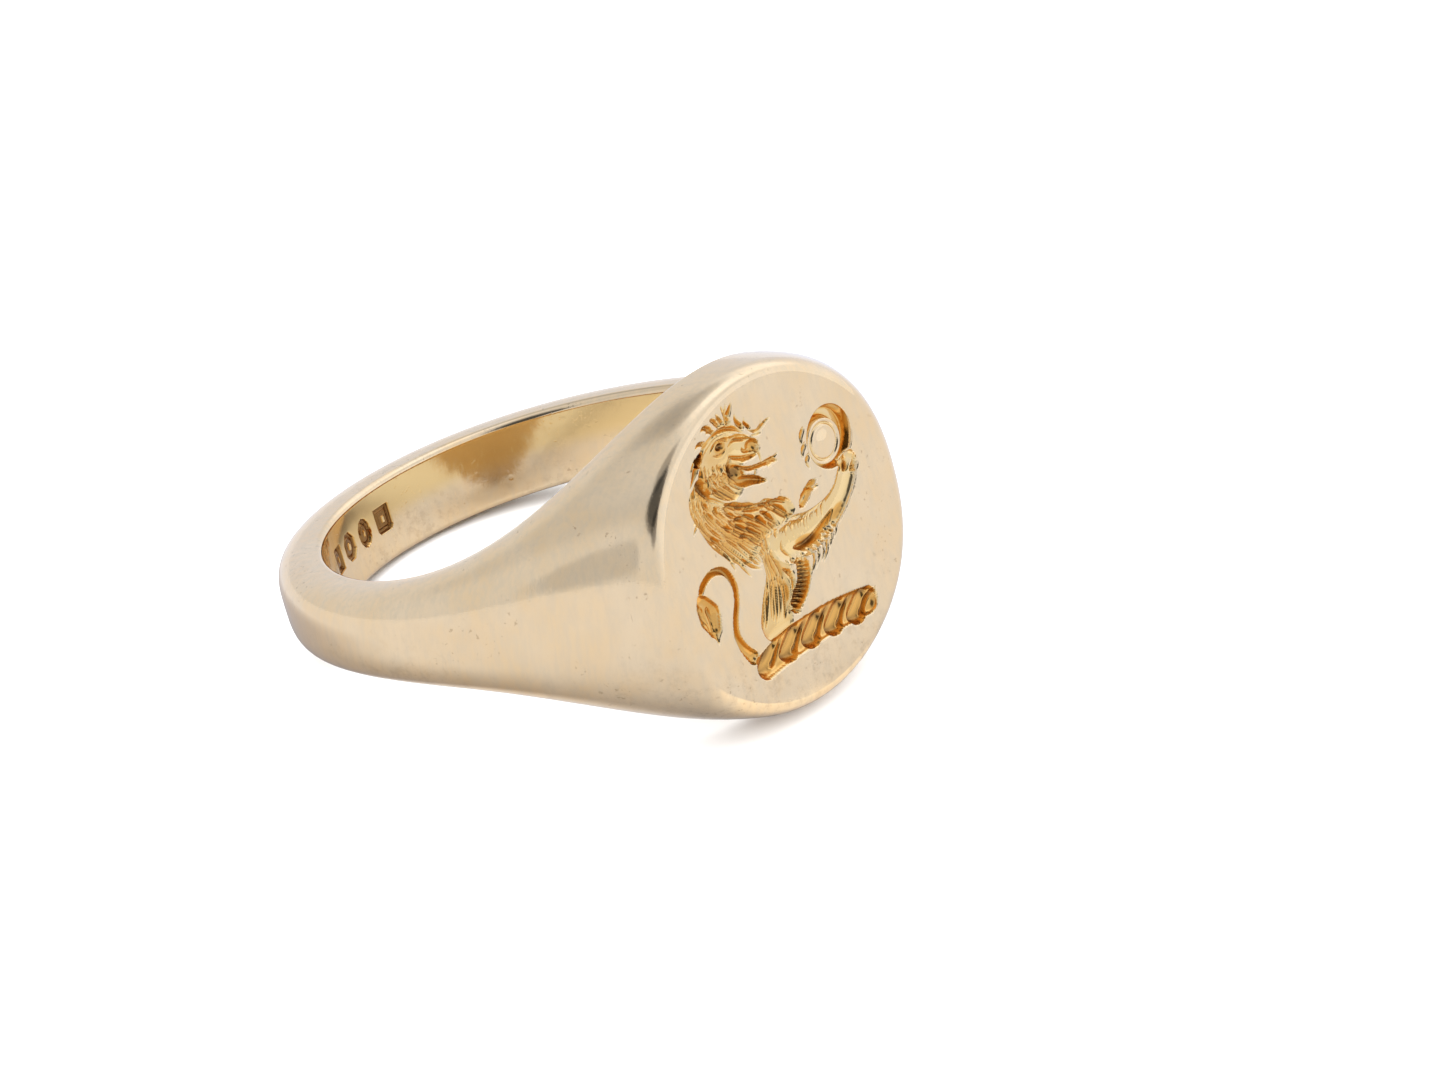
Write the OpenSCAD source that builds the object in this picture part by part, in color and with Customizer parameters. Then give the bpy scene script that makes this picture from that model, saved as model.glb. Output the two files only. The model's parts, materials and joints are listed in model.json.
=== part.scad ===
// Signet ring with a cushion-round seal face, built up from plate, block, shoulders and shank.
// Millimetres. The ring lies on its side as it rests on a table, with its head toward +X.
// Each shape is worked out in the ring's own frame, where the finger hole runs along Z and the
// seal face looks toward +X, and is then laid down by rest().

/* [Finger hole] */
// Diameter of the finger hole
bore_d = 16.5; // [15:0.1:20]
// Rounding where the finger hole meets the sides
bore_edge = 0.2; // [0.1:0.05:0.3]

/* [Shank] */
// Thickness of the band
shank_t = 1.75; // [1.4:0.05:2.2]
// Width of the band at the back of the finger
shank_w = 2.9; // [2.4:0.1:4]

/* [Head] */
// Height of the seal face above the axis of the finger hole
face_x = 10.25; // [9.9:0.05:10.8]
// Width of the seal face, round the finger
face_w = 11.1; // [10:0.1:12]
// Length of the seal face, along the finger
face_l = 11.3; // [10:0.1:12]
// Thickness of the seal plate
plate_t = 0.9; // [0.6:0.05:1.1]
// Rounding of the rim of the seal plate
rim_edge = 0.15; // [0.05:0.05:0.3]

/* [Shoulders] */
// Angle from the head at which the shoulders rise out of the round band
shoulder_angle = 69; // [55:1:80]
// Angle either side of the middle of the head within which the two shoulders blend together
crown_angle = 14; // [8:1:20]
// How quickly the ring narrows from the head to the band
taper = 5.2; // [3:0.1:7]
// Squareness of the section at the back of the band
back_square = 4; // [2.5:0.1:4.5]
// Squareness of the section at the head
head_square = 2.1; // [2:0.05:2.5]

/* [Joins] */
// Thickness of the solder under the seal plate
solder_t = 0.06; // [0.04:0.01:0.15]
// Angle that a shoulder or shank solder seam takes up
seam_angle = 0.45; // [0.3:0.05:1]
// Angle from the face to the seams between head and shoulders
head_seam = 37; // [34:1:42]
// Angle from the face to the seams between shoulders and shank
shank_seam = 102; // [80:1:130]

/* [Engraving and marks] */
// Depth of the crest sunk into the face
crest_depth = 0.35; // [0.1:0.05:0.6]
// Depth of the punched marks inside the band
mark_depth = 0.12; // [0.05:0.01:0.3]
// Angle from the face to the first punched mark
mark_start = 191.3; // [185:0.1:200]
// Angle between punched marks
mark_step = 8.6; // [7:0.1:12]
// Height of the punched marks above the middle of the band
mark_rise = 0.13; // [0:0.01:0.3]

/* [Hidden] */
bore_r = bore_d / 2;
bore_faces = 128;
shank_r = bore_r + shank_t;
back_hw = shank_w / 2;
face_hw = face_w / 2;
face_hl = face_l / 2;
corner_angle = atan2(face_hw, face_x);
corner_r = norm([face_x, face_hw]);
shoulder_swell = ln(shank_r / corner_r) / ln(cos(shoulder_angle - corner_angle));
square_blend = 1.36;
head_hl = face_hl /
    pow(1 - pow((face_x - bore_r) / (ridge(0) - bore_r), head_square), 1 / head_square);
plate_x = face_x - plate_t;
block_x = plate_x - solder_t;
core_depth = 1.2;
spare_angle = 1;
side_points = 7;
loop_steps = 23;
sweep_step = 5.2;
halvings = 24;

// ---- The form of the ring, as a section that changes with the angle from the face ----

// Share of the way from the back of the ring (0) to the head (1)
function headness(angle) = (1 + cos(angle)) / 2;

// Half the width of the ring, along the finger, at the finger hole
function half_width(angle) = back_hw + (head_hl - back_hw) * pow(headness(angle), taper);

// Squareness of the section
function square_at(angle) =
    back_square + (head_square - back_square) * pow(headness(angle), square_blend);

// Angle from the middle of the head, rounded off so that the two shoulders blend smoothly
function swing(angle) =
    let (t = abs(angle) / crown_angle)
    t >= 1 ? abs(angle) : crown_angle * (3 + 6 * t * t - t * t * t * t) / 8;

// Radius at which the two sides of a section meet, as the ridge of the band and shoulders.
// Over the head it runs on above the seal face, which cuts it off.
function ridge(angle) =
    shank_r / pow(cos(max(shoulder_angle - swing(angle), 0)), shoulder_swell);

// Half the width of the ring at radius r
function side_z(r, angle) =
    let (m = square_at(angle), u = (r - bore_r) / (ridge(angle) - bore_r))
    half_width(angle) * pow(max(1 - pow(max(u, 0), m), 0), 1 / m);

// Angle at which the outer ridge drops below a plane of constant x
function edge_angle(x, low = corner_angle, high = 60, n = halvings) =
    let (mid = (low + high) / 2)
    n == 0 ? mid :
    ridge(mid) * cos(mid) > x ? edge_angle(x, mid, high, n - 1) : edge_angle(x, low, mid, n - 1);

// One point [r, z] on the side of a section, at a turn from 0 (finger hole) to 90 (ridge)
function side_point(angle, turn) =
    let (m = square_at(angle), k = pow(pow(sin(turn), m) + pow(cos(turn), m), -1 / m))
    [bore_r + (ridge(angle) - bore_r) * sin(turn) * k, half_width(angle) * cos(turn) * k];

// Turn at which the side of the section meets the plane x = limit, or stops just short of the ridge
function last_turn(angle, limit) =
    let (full = 90 * side_points / (side_points + 0.5), r = limit / cos(angle))
    cos(angle) <= 0 || r >= ridge(angle) ? full :
    min(full, atan2((r - bore_r) / (ridge(angle) - bore_r), side_z(r, angle) / half_width(angle)));

// Upper half of a section, from the edge of the finger hole round to the ridge or the plane
function upper_half(angle, limit) =
    let (w = half_width(angle), e = bore_edge, last = last_turn(angle, limit))
    concat(
        [[bore_r + 0.3 * e, w - 0.3 * e], [bore_r + e, side_z(bore_r + e, angle)]],
        [for (i = [1:side_points]) side_point(angle, last * i / side_points)]);

function mirrored(points) =
    [for (i = [len(points) - 1:-1:0]) [points[i][0], -points[i][1]]];

// Whole section, closed by a point inside the finger hole that the bore removes
function section(angle, limit) =
    let (half = upper_half(angle, limit))
    [for (p = concat([[bore_r - core_depth, 0]], half, mirrored(half)))
        [p[0] * cos(angle), p[0] * sin(angle), p[1]]];

// Loop round the ring's side at a plane x, with the points crowded toward its two ends
function loop(x, inset = 0) =
    let (half_y = x * tan(edge_angle(x)),
        ys = [for (i = [0:loop_steps]) half_y * sin(-90 + 180 * i / loop_steps)],
        zs = [for (y = ys) side_z(norm([x, y]), atan2(y, x))],
        shrink = 1 - inset / face_hw)
    concat(
        [for (i = [0:loop_steps]) [x, ys[i] * shrink, zs[i] * shrink]],
        [for (i = [loop_steps - 1:-1:1]) [x, ys[i] * shrink, -zs[i] * shrink]]);

// ---- Solids through a list of loops ----

module loft(loops) {
    count = len(loops[0]);
    last = len(loops) - 1;
    walls = [for (j = [0:last - 1], i = [0:count - 1])
        let (k = (i + 1) % count, a = j * count, b = a + count)
        each [[a + i, b + i, b + k], [a + i, b + k, a + k]]];
    first_cap = [for (i = [0:count - 1]) i];
    last_cap = [for (i = [count - 1:-1:0]) last * count + i];
    polyhedron([for (l = loops) each l], concat([first_cap], walls, [last_cap]));
}

module bore() {
    cylinder(r = bore_r, h = 2 * head_hl + 2, center = true, $fn = bore_faces);
}

// Everything between two radial planes
module wedge(from, to) {
    fans = ceil((to - from) / 60);
    rays = [for (i = [0:fans]) from + (to - from) * i / fans];
    linear_extrude(2 * head_hl + 4, center = true)
        polygon(concat([[0, 0]], [for (a = rays) 3 * bore_r * [cos(a), sin(a)]]));
}

// Sections swept through a list of angles, cut off by radial planes and bored through
module sweep(angles, limit, from, to) {
    difference() {
        intersection() {
            loft([for (a = angles) section(a, limit)]);
            wedge(from, to);
        }
        bore();
    }
}

// Part of the round of the ring between two angles
module arc_piece(from, to) {
    steps = 2 * ceil((to - from) / sweep_step / 2) + 1;
    angles = [for (i = [0:steps]) from - spare_angle + (to - from + 2 * spare_angle) * i / steps];
    sweep(angles, 2 * face_x, from, to);
}

// ---- How the ring lies ----

function profile(angle) =
    [for (p = section(angle, block_x)) if (norm([p[0], p[1]]) > bore_r) [norm([p[0], p[1]]), p[2]]];
head_profile = concat(profile(0), [[face_x, face_hl - rim_edge], [face_x, rim_edge - face_hl]]);
back_profile = [for (p = profile(180)) [-p[0], p[1]]];

function lowest(points, tilt) = min([for (p = points) p[0] * sin(tilt) + p[1] * cos(tilt)]);

// Tilt at which the head and the back of the band touch the table together
function level(low, high, n) =
    let (mid = (low + high) / 2)
    n == 0 ? mid :
    lowest(head_profile, mid) < lowest(back_profile, mid) ? level(mid, high, n - 1) : level(low, mid, n - 1);
rest_tilt = level(0, 30, halvings);
lift = -lowest(back_profile, rest_tilt);
front_x = max([for (p = head_profile) p[0] * cos(rest_tilt) - p[1] * sin(rest_tilt)]);
rear_x = min([for (p = back_profile) p[0] * cos(rest_tilt) - p[1] * sin(rest_tilt)]);

module rest() {
    translate([-(front_x + rear_x) / 2, 0, lift])
        rotate([0, -rest_tilt, 0])
            children();
}

// ---- The crest: a generic demi-lion with a plain roundel, above a twisted wreath ----

module wreath() {
    strands = 6;
    strand_pitch = 0.95;
    for (i = [0:strands - 1])
        translate([-2.2 + i * strand_pitch, -3.3])
            rotate(25)
                square([1.05, 0.75], center = true);
}

module lion() {
    // head and muzzle
    translate([-1.2, 2.75])
        circle(r = 0.95, $fn = 48);
    polygon([[-0.9, 3.3], [0.1, 2.9], [-0.1, 2.2], [-0.9, 2.1]]);
    // mane and chest
    translate([-1.9, 1.7])
        circle(r = 1.2, $fn = 48);
    translate([-0.8, 0.7])
        circle(r = 1.2, $fn = 48);
    // raised foreleg and paw
    polygon([[-0.6, -0.6], [0.8, -1], [3.1, 0], [3.8, 1.1], [3.1, 1.2], [2.5, 0.4], [0.2, 0.7]]);
    // loin, down to the wreath
    polygon([[-1.3, 0.4], [0.3, -0.4], [0.2, -1.6], [-0.9, -2.7], [-1.7, -2.4]]);
}

module tail() {
    translate([-3.2, -0.6])
        difference() {
            circle(r = 0.85, $fn = 48);
            circle(r = 0.6, $fn = 48);
            translate([-1, -2])
                square([2, 2]);
        }
    polygon([[-2.6, -0.6], [-2.35, -0.6], [-2.7, -2], [-2.2, -2.9], [-2.6, -2.9], [-3.05, -2]]);
    polygon([[-4.05, -0.6], [-3.8, -0.6], [-3.5, -1.1], [-3.9, -1.9], [-4.2, -1.2]]);
}

module crest() {
    translate([face_x - crest_depth, 0, 0])
        rotate([90, 0, 90])
            linear_extrude(crest_depth + 1) {
                wreath();
                lion();
                tail();
                translate([3, 2.2])
                    circle(r = 1, $fn = 64);
            }
}

// ---- Punched marks with plain fields, on the inside of the band ----

mark_outlines = [
    [[-0.4, -0.3], [-0.3, -0.45], [0.3, -0.45], [0.4, -0.3], [0.4, 0.45], [-0.4, 0.45]],
    [for (a = [0:30:330]) [0.38 * cos(a), 0.5 * sin(a)]],
    [for (a = [22.5:45:337.5]) [0.46 * cos(a), 0.5 * sin(a)]],
    [for (a = [45:90:315]) [0.5 * cos(a), 0.6 * sin(a)]],
];

module marks() {
    for (i = [0:len(mark_outlines) - 1])
        rotate(mark_start + i * mark_step)
            translate([bore_r - 1, 0, mark_rise])
                rotate([90, 0, 90])
                    linear_extrude(1 + mark_depth)
                        polygon(mark_outlines[i]);
}

// ---- The pieces ----

module seal_plate() {
    color("#e6cfa3") rest() difference() {
        loft([loop(plate_x), loop(face_x - rim_edge), loop(face_x, rim_edge)]);
        crest();
    }
}

module plate_solder() {
    color("#cdb27c") rest() loft([loop(block_x), loop(plate_x)]);
}

module head_block() {
    edge = edge_angle(block_x);
    turns = [for (i = [0:loop_steps]) atan(tan(edge) * sin(-90 + 180 * i / loop_steps))];
    ends = [(edge + head_seam) / 2, head_seam + spare_angle];
    color("#dcc294") rest()
        sweep(concat(-[ends[1], ends[0]], turns, ends), block_x, -head_seam, head_seam);
}

module left_head_solder() {
    color("#cdb27c") rest() arc_piece(head_seam, head_seam + seam_angle);
}

module right_head_solder() {
    color("#cdb27c") rest() arc_piece(-head_seam - seam_angle, -head_seam);
}

module left_shoulder() {
    color("#e0c798") rest() arc_piece(head_seam + seam_angle, shank_seam);
}

module right_shoulder() {
    color("#e0c798") rest() arc_piece(-shank_seam, -head_seam - seam_angle);
}

module left_shank_solder() {
    color("#cdb27c") rest() arc_piece(shank_seam, shank_seam + seam_angle);
}

module right_shank_solder() {
    color("#cdb27c") rest() arc_piece(-shank_seam - seam_angle, -shank_seam);
}

module shank() {
    color("#d8bc85") rest() difference() {
        arc_piece(shank_seam + seam_angle, 360 - shank_seam - seam_angle);
        marks();
    }
}

seal_plate();
plate_solder();
head_block();
left_head_solder();
right_head_solder();
left_shoulder();
right_shoulder();
left_shank_solder();
right_shank_solder();
shank();
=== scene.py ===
"""A solid gold signet ring lying on a pale table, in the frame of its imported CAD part.

Form sizes are in millimetres and degrees in the ring's own frame, as in part.scad: the finger
hole runs along z, the seal face looks along +x, and angles round the ring start at the face.
"""

import json
import math

import bpy
import numpy as np
from mathutils import Matrix, Vector


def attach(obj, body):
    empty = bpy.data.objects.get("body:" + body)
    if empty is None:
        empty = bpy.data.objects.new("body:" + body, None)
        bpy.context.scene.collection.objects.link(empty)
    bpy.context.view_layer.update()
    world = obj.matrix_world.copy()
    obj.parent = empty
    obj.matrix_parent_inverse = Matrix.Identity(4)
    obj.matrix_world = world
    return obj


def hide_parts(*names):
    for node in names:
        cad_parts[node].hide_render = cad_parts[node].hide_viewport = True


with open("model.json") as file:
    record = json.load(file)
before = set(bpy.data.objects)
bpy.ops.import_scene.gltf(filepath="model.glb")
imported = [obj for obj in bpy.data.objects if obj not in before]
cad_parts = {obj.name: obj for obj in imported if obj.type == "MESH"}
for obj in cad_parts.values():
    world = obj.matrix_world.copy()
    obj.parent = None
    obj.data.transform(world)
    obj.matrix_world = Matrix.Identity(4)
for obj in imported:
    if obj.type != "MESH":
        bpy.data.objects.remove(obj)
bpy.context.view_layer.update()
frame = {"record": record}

MM = 0.001

# ---- Driving values, the same as in part.scad ----

mounts = {m["name"]: m for m in frame["record"]["mounts"]}
hole = mounts["finger_hole"]
BORE_R = hole["dims"]["r_mm"]
SHANK_R = BORE_R + 1.75  # outside of the band at the back
BACK_HW = 2.9 / 2  # half the width of the band at the back
FACE_X = 10.25  # plane of the seal face
FACE_HW = 11.1 / 2  # half the face across the finger
FACE_HL = 11.3 / 2  # half the face along the finger
PLATE_X = FACE_X - 0.9  # back of the seal plate
BLOCK_X = PLATE_X - 0.06  # front of the head block, under the plate's solder
SHOULDER_ANGLE = 69  # where the ridge begins to rise from the band
CROWN_ANGLE = 14  # where the two shoulders blend
TAPER = 5.2  # how late the band widens toward the head
BACK_SQUARE = 4  # how square the section is, at the back and at the head
HEAD_SQUARE = 2.1
SQUARE_BLEND = 1.36
HEAD_SEAM = 37  # angles of the soldered seams
SHANK_SEAM = 102
SEAM_ANGLE = 0.45  # thickness of their solder
MARK_START = 190.2  # angle of the first punched mark
MARK_STEP = 8.2
MARK_RISE = 0.13  # height of the marks above the middle of the band
CORNER_ANGLE = math.degrees(math.atan2(FACE_HW, FACE_X))
CORNER_R = math.hypot(FACE_HW, FACE_X)
SWELL = math.log(SHANK_R / CORNER_R) / math.log(
    math.cos(math.radians(SHOULDER_ANGLE - CORNER_ANGLE)))

# ---- Finish of the edges, and how finely the surfaces are divided ----

BORE_EDGE = 0.24  # radius of the edge of the finger hole
RIM_INSET = 0.38  # the rim of the face is rounded this far along the face
RIM_DEPTH = 0.6  # and this far down the side
RIM_STEPS = 12
ARC_STEPS = 6
SIDE_STEPS = 26
BORE_STEPS = 24
MARK_BORE_STEPS = 64
FACE_STEPS = 288
SWEEP_STEP = 0.8  # degrees between sections
MARK_SWEEP_STEP = 0.25
HEAD_SWEEP_STEP = 0.3
MARK_MARGIN = 5
FRONT = (1, 0, 0)

# ---- How dark the metal is: 0 is plain, 0.5 and 1 painted shade, and 2 the darkest, in crevices and punched marks ----

WALL_PAINTED_SHADE = 0.5  # painted shade: warmer, darker gold on the upper part of the wall of the finger hole
# How dark the sunk parts of the punched marks are made
MARK_DARKNESS = 2
DEEP_PAINTED_SHADE = 0.25  # painted shade added in the deep parts of the engraving
CREVICE_PAINTED_SHADE = 0.8  # painted shade added in its crevices
CREVICE_REACH = 5

rng = np.random.default_rng(7)


# ---- The form of the ring, as a section that changes with the angle from the face ----

def swing(angle):
    """Angle from the middle of the head, rounded off so that the two shoulders blend."""
    t = np.abs(angle) / CROWN_ANGLE
    return np.where(t >= 1, np.abs(angle), CROWN_ANGLE * (3 + 6 * t ** 2 - t ** 4) / 8)


def ridge(angle):
    """Radius at which the two sides of a section meet."""
    fall = np.maximum(SHOULDER_ANGLE - swing(angle), 0)
    return SHANK_R / np.cos(np.radians(fall)) ** SWELL


def headness(angle):
    """Share of the way from the back of the ring (0) to the head (1)."""
    return (1 + np.cos(np.radians(angle))) / 2


def square_at(angle):
    return BACK_SQUARE + (HEAD_SQUARE - BACK_SQUARE) * headness(angle) ** SQUARE_BLEND


RISE_AT_FACE = (FACE_X - BORE_R) / (float(ridge(0)) - BORE_R)
HEAD_HL = FACE_HL / (1 - RISE_AT_FACE ** HEAD_SQUARE) ** (1 / HEAD_SQUARE)


def half_width(angle):
    """Half the width of the ring, along the finger, at the finger hole."""
    return BACK_HW + (HEAD_HL - BACK_HW) * headness(angle) ** TAPER


def side_z(r, angle):
    """Half the width of the ring at radius r."""
    m = square_at(angle)
    u = np.maximum((r - BORE_R) / (ridge(angle) - BORE_R), 0)
    return half_width(angle) * np.maximum(1 - u ** m, 0) ** (1 / m)


def side_level(points):
    """1 on the ring's side, less inside it and more outside it."""
    x, y, z = points[..., 0], points[..., 1], points[..., 2]
    angle = np.degrees(np.arctan2(y, x))
    m = square_at(angle)
    u = np.maximum(np.hypot(x, y) - BORE_R, 0) / (ridge(angle) - BORE_R)
    return u ** m + (np.abs(z) / half_width(angle)) ** m


def unit(vectors):
    return vectors / np.maximum(np.linalg.norm(vectors, axis=-1, keepdims=True), 1e-12)


def side_normal(points):
    step = 1e-4 * np.eye(3)
    return unit(np.stack([side_level(points + s) - side_level(points - s) for s in step], -1))


def spoke(angle):
    """Unit vectors pointing away from the axis of the finger hole."""
    a = np.radians(angle)
    return np.stack([np.cos(a), np.sin(a), np.zeros_like(a)], -1)


def around(r, angle, z):
    """Points at radius r, an angle and a height z."""
    r, angle, z = np.broadcast_arrays(r, angle, z)
    return r[..., None] * spoke(angle) + np.stack([0 * z, 0 * z, z], -1)


# ---- Meshes with a normal for every corner of every face ----

class Shell:
    """Collects grids of points and flat faces into one mesh."""

    def __init__(self):
        self.points, self.faces, self.corners, self.count = [], [], [], 0

    def add_points(self, points):
        flat = points.reshape(-1, 3)
        index = np.arange(self.count, self.count + len(flat)).reshape(points.shape[:-1])
        self.points.append(flat)
        self.count += len(flat)
        return index

    def add_quads(self, index, normals):
        """Quads between the rows of an index grid. Normals go with the grid's points."""
        pick = [np.s_[:-1, :-1], np.s_[:-1, 1:], np.s_[1:, 1:], np.s_[1:, :-1]]
        quads = np.stack([index[p] for p in pick], -1)
        corner = np.stack([normals[p] for p in pick], -2)
        self.faces += quads.reshape(-1, 4).tolist()
        self.corners.append(corner.reshape(-1, 3))

    def add_flat(self, index, normal):
        self.faces.append([int(i) for i in index])
        self.corners.append(np.tile(np.asarray(normal, float), (len(index), 1)))

    def build(self, name, cut=None):
        """The finished object. Cut tells how dark the metal is at each point: painted shade, and the
        darker punched marks.
        """
        mesh = bpy.data.meshes.new(name)
        points = np.concatenate(self.points) * MM
        mesh.from_pydata(points.tolist(), [], self.faces)
        mesh.polygons.foreach_set("use_smooth", np.ones(len(mesh.polygons), bool))
        mesh.normals_split_custom_set(unit(np.concatenate(self.corners)).tolist())
        layer = mesh.attributes.new("cut", "FLOAT", "POINT")
        layer.data.foreach_set("value", np.zeros(self.count) if cut is None else cut)
        obj = bpy.data.objects.new("ring_" + name, mesh)
        bpy.context.scene.collection.objects.link(obj)
        return obj


def ring_matrix():
    """Places the ring's own frame, in metres, where the record's finger hole is."""
    up = Vector(hole["axis"]).normalized()
    front = Vector((up.z, 0, -up.x)).normalized()
    left = up.cross(front)
    turn = Matrix((front, left, up)).transposed().to_4x4()
    return Matrix.Translation(Vector(hole["pos_m"])) @ turn


# ---- Punched marks: plain cartouches on the inside of the band ----

def polygon_depth(y, z, corners):
    """How far inside a convex outline, listed anticlockwise, each point is."""
    inside = np.full(y.shape, 9.0)
    for (y0, z0), (y1, z1) in zip(corners, corners[1:] + corners[:1]):
        length = math.hypot(y1 - y0, z1 - z0)
        inside = np.minimum(inside, ((y1 - y0) * (z - z0) - (z1 - z0) * (y - y0)) / length)
    return inside


def round_corners(ry, rz, start, step):
    angles = [math.radians(a) for a in np.arange(start, start + 360, step)]
    return [(ry * math.cos(a), rz * math.sin(a)) for a in angles]


MARK_OUTLINES = [
    [(-0.3, -0.45), (0.3, -0.45), (0.4, -0.3), (0.4, 0.45), (-0.4, 0.45), (-0.4, -0.3)],
    round_corners(0.38, 0.5, 0, 30),
    round_corners(0.46, 0.5, 22.5, 45),
    round_corners(0.5, 0.6, 45, 90),
]


def smooth_step(t):
    t = np.clip(t, 0, 1)
    return t * t * (3 - 2 * t)


MARK_SUNK = 0.13
MARK_FIELD = 0.075
MARK_PIP = 0.05


def mark_depth(angle, z):
    """Depth of the punched marks: a sunk border, a raised field and a small raised middle."""
    depth = np.zeros(np.broadcast(angle, z).shape)
    for i, outline in enumerate(MARK_OUTLINES):
        y = np.radians(angle - MARK_START - i * MARK_STEP) * BORE_R
        inside = polygon_depth(y + 0 * z, z - MARK_RISE + 0 * y, outline)
        sunk = MARK_SUNK * smooth_step(inside / 0.07 + 0.5)
        field = MARK_FIELD * smooth_step((inside - 0.11) / 0.09)
        pip = MARK_PIP * smooth_step((inside - 0.3) / 0.05)
        depth = np.maximum(depth, sunk - field - pip)
    return depth


# ---- Pieces that follow the round of the ring ----

def whole(bore, arc, side):
    """Whole sections: the finger hole, the upper side, and the lower side as its mirror."""
    flip = np.array([1, 1, -1])
    return np.concatenate([bore, arc, side, side[:, ::-1] * flip, arc[:, ::-1] * flip], 1)


def section_grid(angles, limit, bore_steps):
    """Points and normals of whole sections, the column of their ridge, and which are cut off."""
    angle = angles[:, None]
    reach, width = ridge(angle), half_width(angle)
    m = square_at(angle)
    cos = np.maximum(np.cos(np.radians(angle)), 1e-3)
    limit_r = limit / cos
    full = 90 * SIDE_STEPS / (SIDE_STEPS + 0.5)
    cut_turn = np.degrees(np.arctan2(
        (limit_r - BORE_R) / (reach - BORE_R), side_z(limit_r, angle) / width))
    last = np.where(limit_r >= reach, full, np.minimum(full, cut_turn))
    z0 = side_z(BORE_R + BORE_EDGE, angle)
    first = np.degrees(np.arctan2(BORE_EDGE / (reach - BORE_R), z0 / width))
    turn = np.radians(first + (last - first) * np.linspace(0, 1, SIDE_STEPS + 1))
    k = (np.sin(turn) ** m + np.cos(turn) ** m) ** (-1 / m)
    side = around(BORE_R + (reach - BORE_R) * np.sin(turn) * k, angle, width * np.cos(turn) * k)
    side_n = side_normal(side)
    bend = np.radians(90 * np.arange(1, ARC_STEPS) / ARC_STEPS)
    arc = around(
        BORE_R + BORE_EDGE * (1 - np.cos(bend)), angle, z0 + BORE_EDGE * (np.sin(bend) - 1))
    inward = -spoke(angle[:, 0])[:, None, :]
    arc_n = unit(np.cos(bend)[:, None] * inward + np.sin(bend)[:, None] * side_n[:, :1])
    bore_z = (z0 - BORE_EDGE) * np.linspace(-1, 1, bore_steps + 1)
    bore = around(BORE_R, angle, bore_z)
    bore_n = np.broadcast_to(inward, bore.shape).copy()
    crown = bore_steps + ARC_STEPS + SIDE_STEPS
    clipped = (limit_r < reach)[:, 0]
    return whole(bore, arc, side), whole(bore_n, arc_n, side_n), crown, clipped


def sweep(name, angles, limit=2 * FACE_X, bore_steps=BORE_STEPS, marked=False):
    """A length of the ring between two radial faces, cut off at the plane x = limit."""
    points, normals, crown, clipped = section_grid(angles, limit, bore_steps)
    cut = np.zeros(points.shape[:2])
    wall = np.s_[:, :bore_steps + 1]
    height = points[wall][..., 2] / np.abs(points[wall][..., 2]).max(1, keepdims=True)
    # Painted shade: the upper part of the finger hole's wall is made warmer and darker, as light
    # bounced between gold walls would make it
    cut[wall] = WALL_PAINTED_SHADE * smooth_step((height + 0.4) / 0.9)
    if marked:
        depth = mark_depth(angles[:, None], points[wall][..., 2])
        # The punched marks are made darker where they are sunk
        cut[wall] += (MARK_DARKNESS - cut[wall]) * smooth_step(depth / 0.05)
        points, normals = punch(points, normals, angles, wall)
    shell = Shell()
    index = shell.add_points(points)
    columns = points.shape[1]
    for start, stop in ((0, crown), (crown, crown + 1), (crown + 1, columns)):
        pick = np.arange(start, stop + 1) % columns
        part = normals[:, pick].copy()
        if start == crown:
            part[clipped] = FRONT
        shell.add_quads(index[:, pick], part)
    shell.add_flat(index[0][::-1], spoke(angles[0] - 90))
    shell.add_flat(index[-1], spoke(angles[-1] + 90))
    return shell.build(name, cut.ravel())


def punch(points, normals, angles, wall):
    """Sinks the punched marks into the wall of the finger hole."""
    angle, z = angles[:, None], points[wall][..., 2]
    step = 0.01
    depth = mark_depth(angle, z)
    turn = math.degrees(step / BORE_R)
    slope_t = (mark_depth(angle + turn, z) - mark_depth(angle - turn, z)) / (2 * step)
    slope_z = (mark_depth(angle, z + step) - mark_depth(angle, z - step)) / (2 * step)
    out = spoke(angle + 0 * z)
    tangent = spoke(angle + 90 + 0 * z)
    points[wall] = points[wall] + depth[..., None] * out
    up = np.array([0, 0, 1.0])
    normals[wall] = unit(-out + slope_t[..., None] * tangent + slope_z[..., None] * up)
    return points, normals


def steps_between(start, stop, step):
    return np.linspace(start, stop, max(2, int(round(abs(stop - start) / step)) + 1))


def edge_angle(x):
    """Angle at which the outer ridge drops below a plane of constant x."""
    low, high = CORNER_ANGLE, 60.0
    for _ in range(40):
        mid = (low + high) / 2
        if float(ridge(mid)) * math.cos(math.radians(mid)) > x:
            low = mid
        else:
            high = mid
    return low


def head_angles():
    edge = edge_angle(BLOCK_X)
    sweep_turn = np.radians(np.linspace(-90, 90, 121))
    middle = np.degrees(np.arctan(math.tan(math.radians(edge)) * np.sin(sweep_turn)))
    spare = steps_between(edge, HEAD_SEAM, HEAD_SWEEP_STEP)[1:]
    return np.concatenate([-spare[::-1], middle, spare])


def shank_angles():
    start, stop = SHANK_SEAM + SEAM_ANGLE, 360 - SHANK_SEAM - SEAM_ANGLE
    mark_low = MARK_START - MARK_MARGIN
    mark_high = MARK_START + (len(MARK_OUTLINES) - 1) * MARK_STEP + MARK_MARGIN
    return np.concatenate([
        steps_between(start, mark_low, SWEEP_STEP)[:-1],
        steps_between(mark_low, mark_high, MARK_SWEEP_STEP),
        steps_between(mark_high, stop, SWEEP_STEP)[1:]])


# ---- The engraving: a generic demi-lion holding a plain roundel, above a twisted wreath ----

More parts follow.
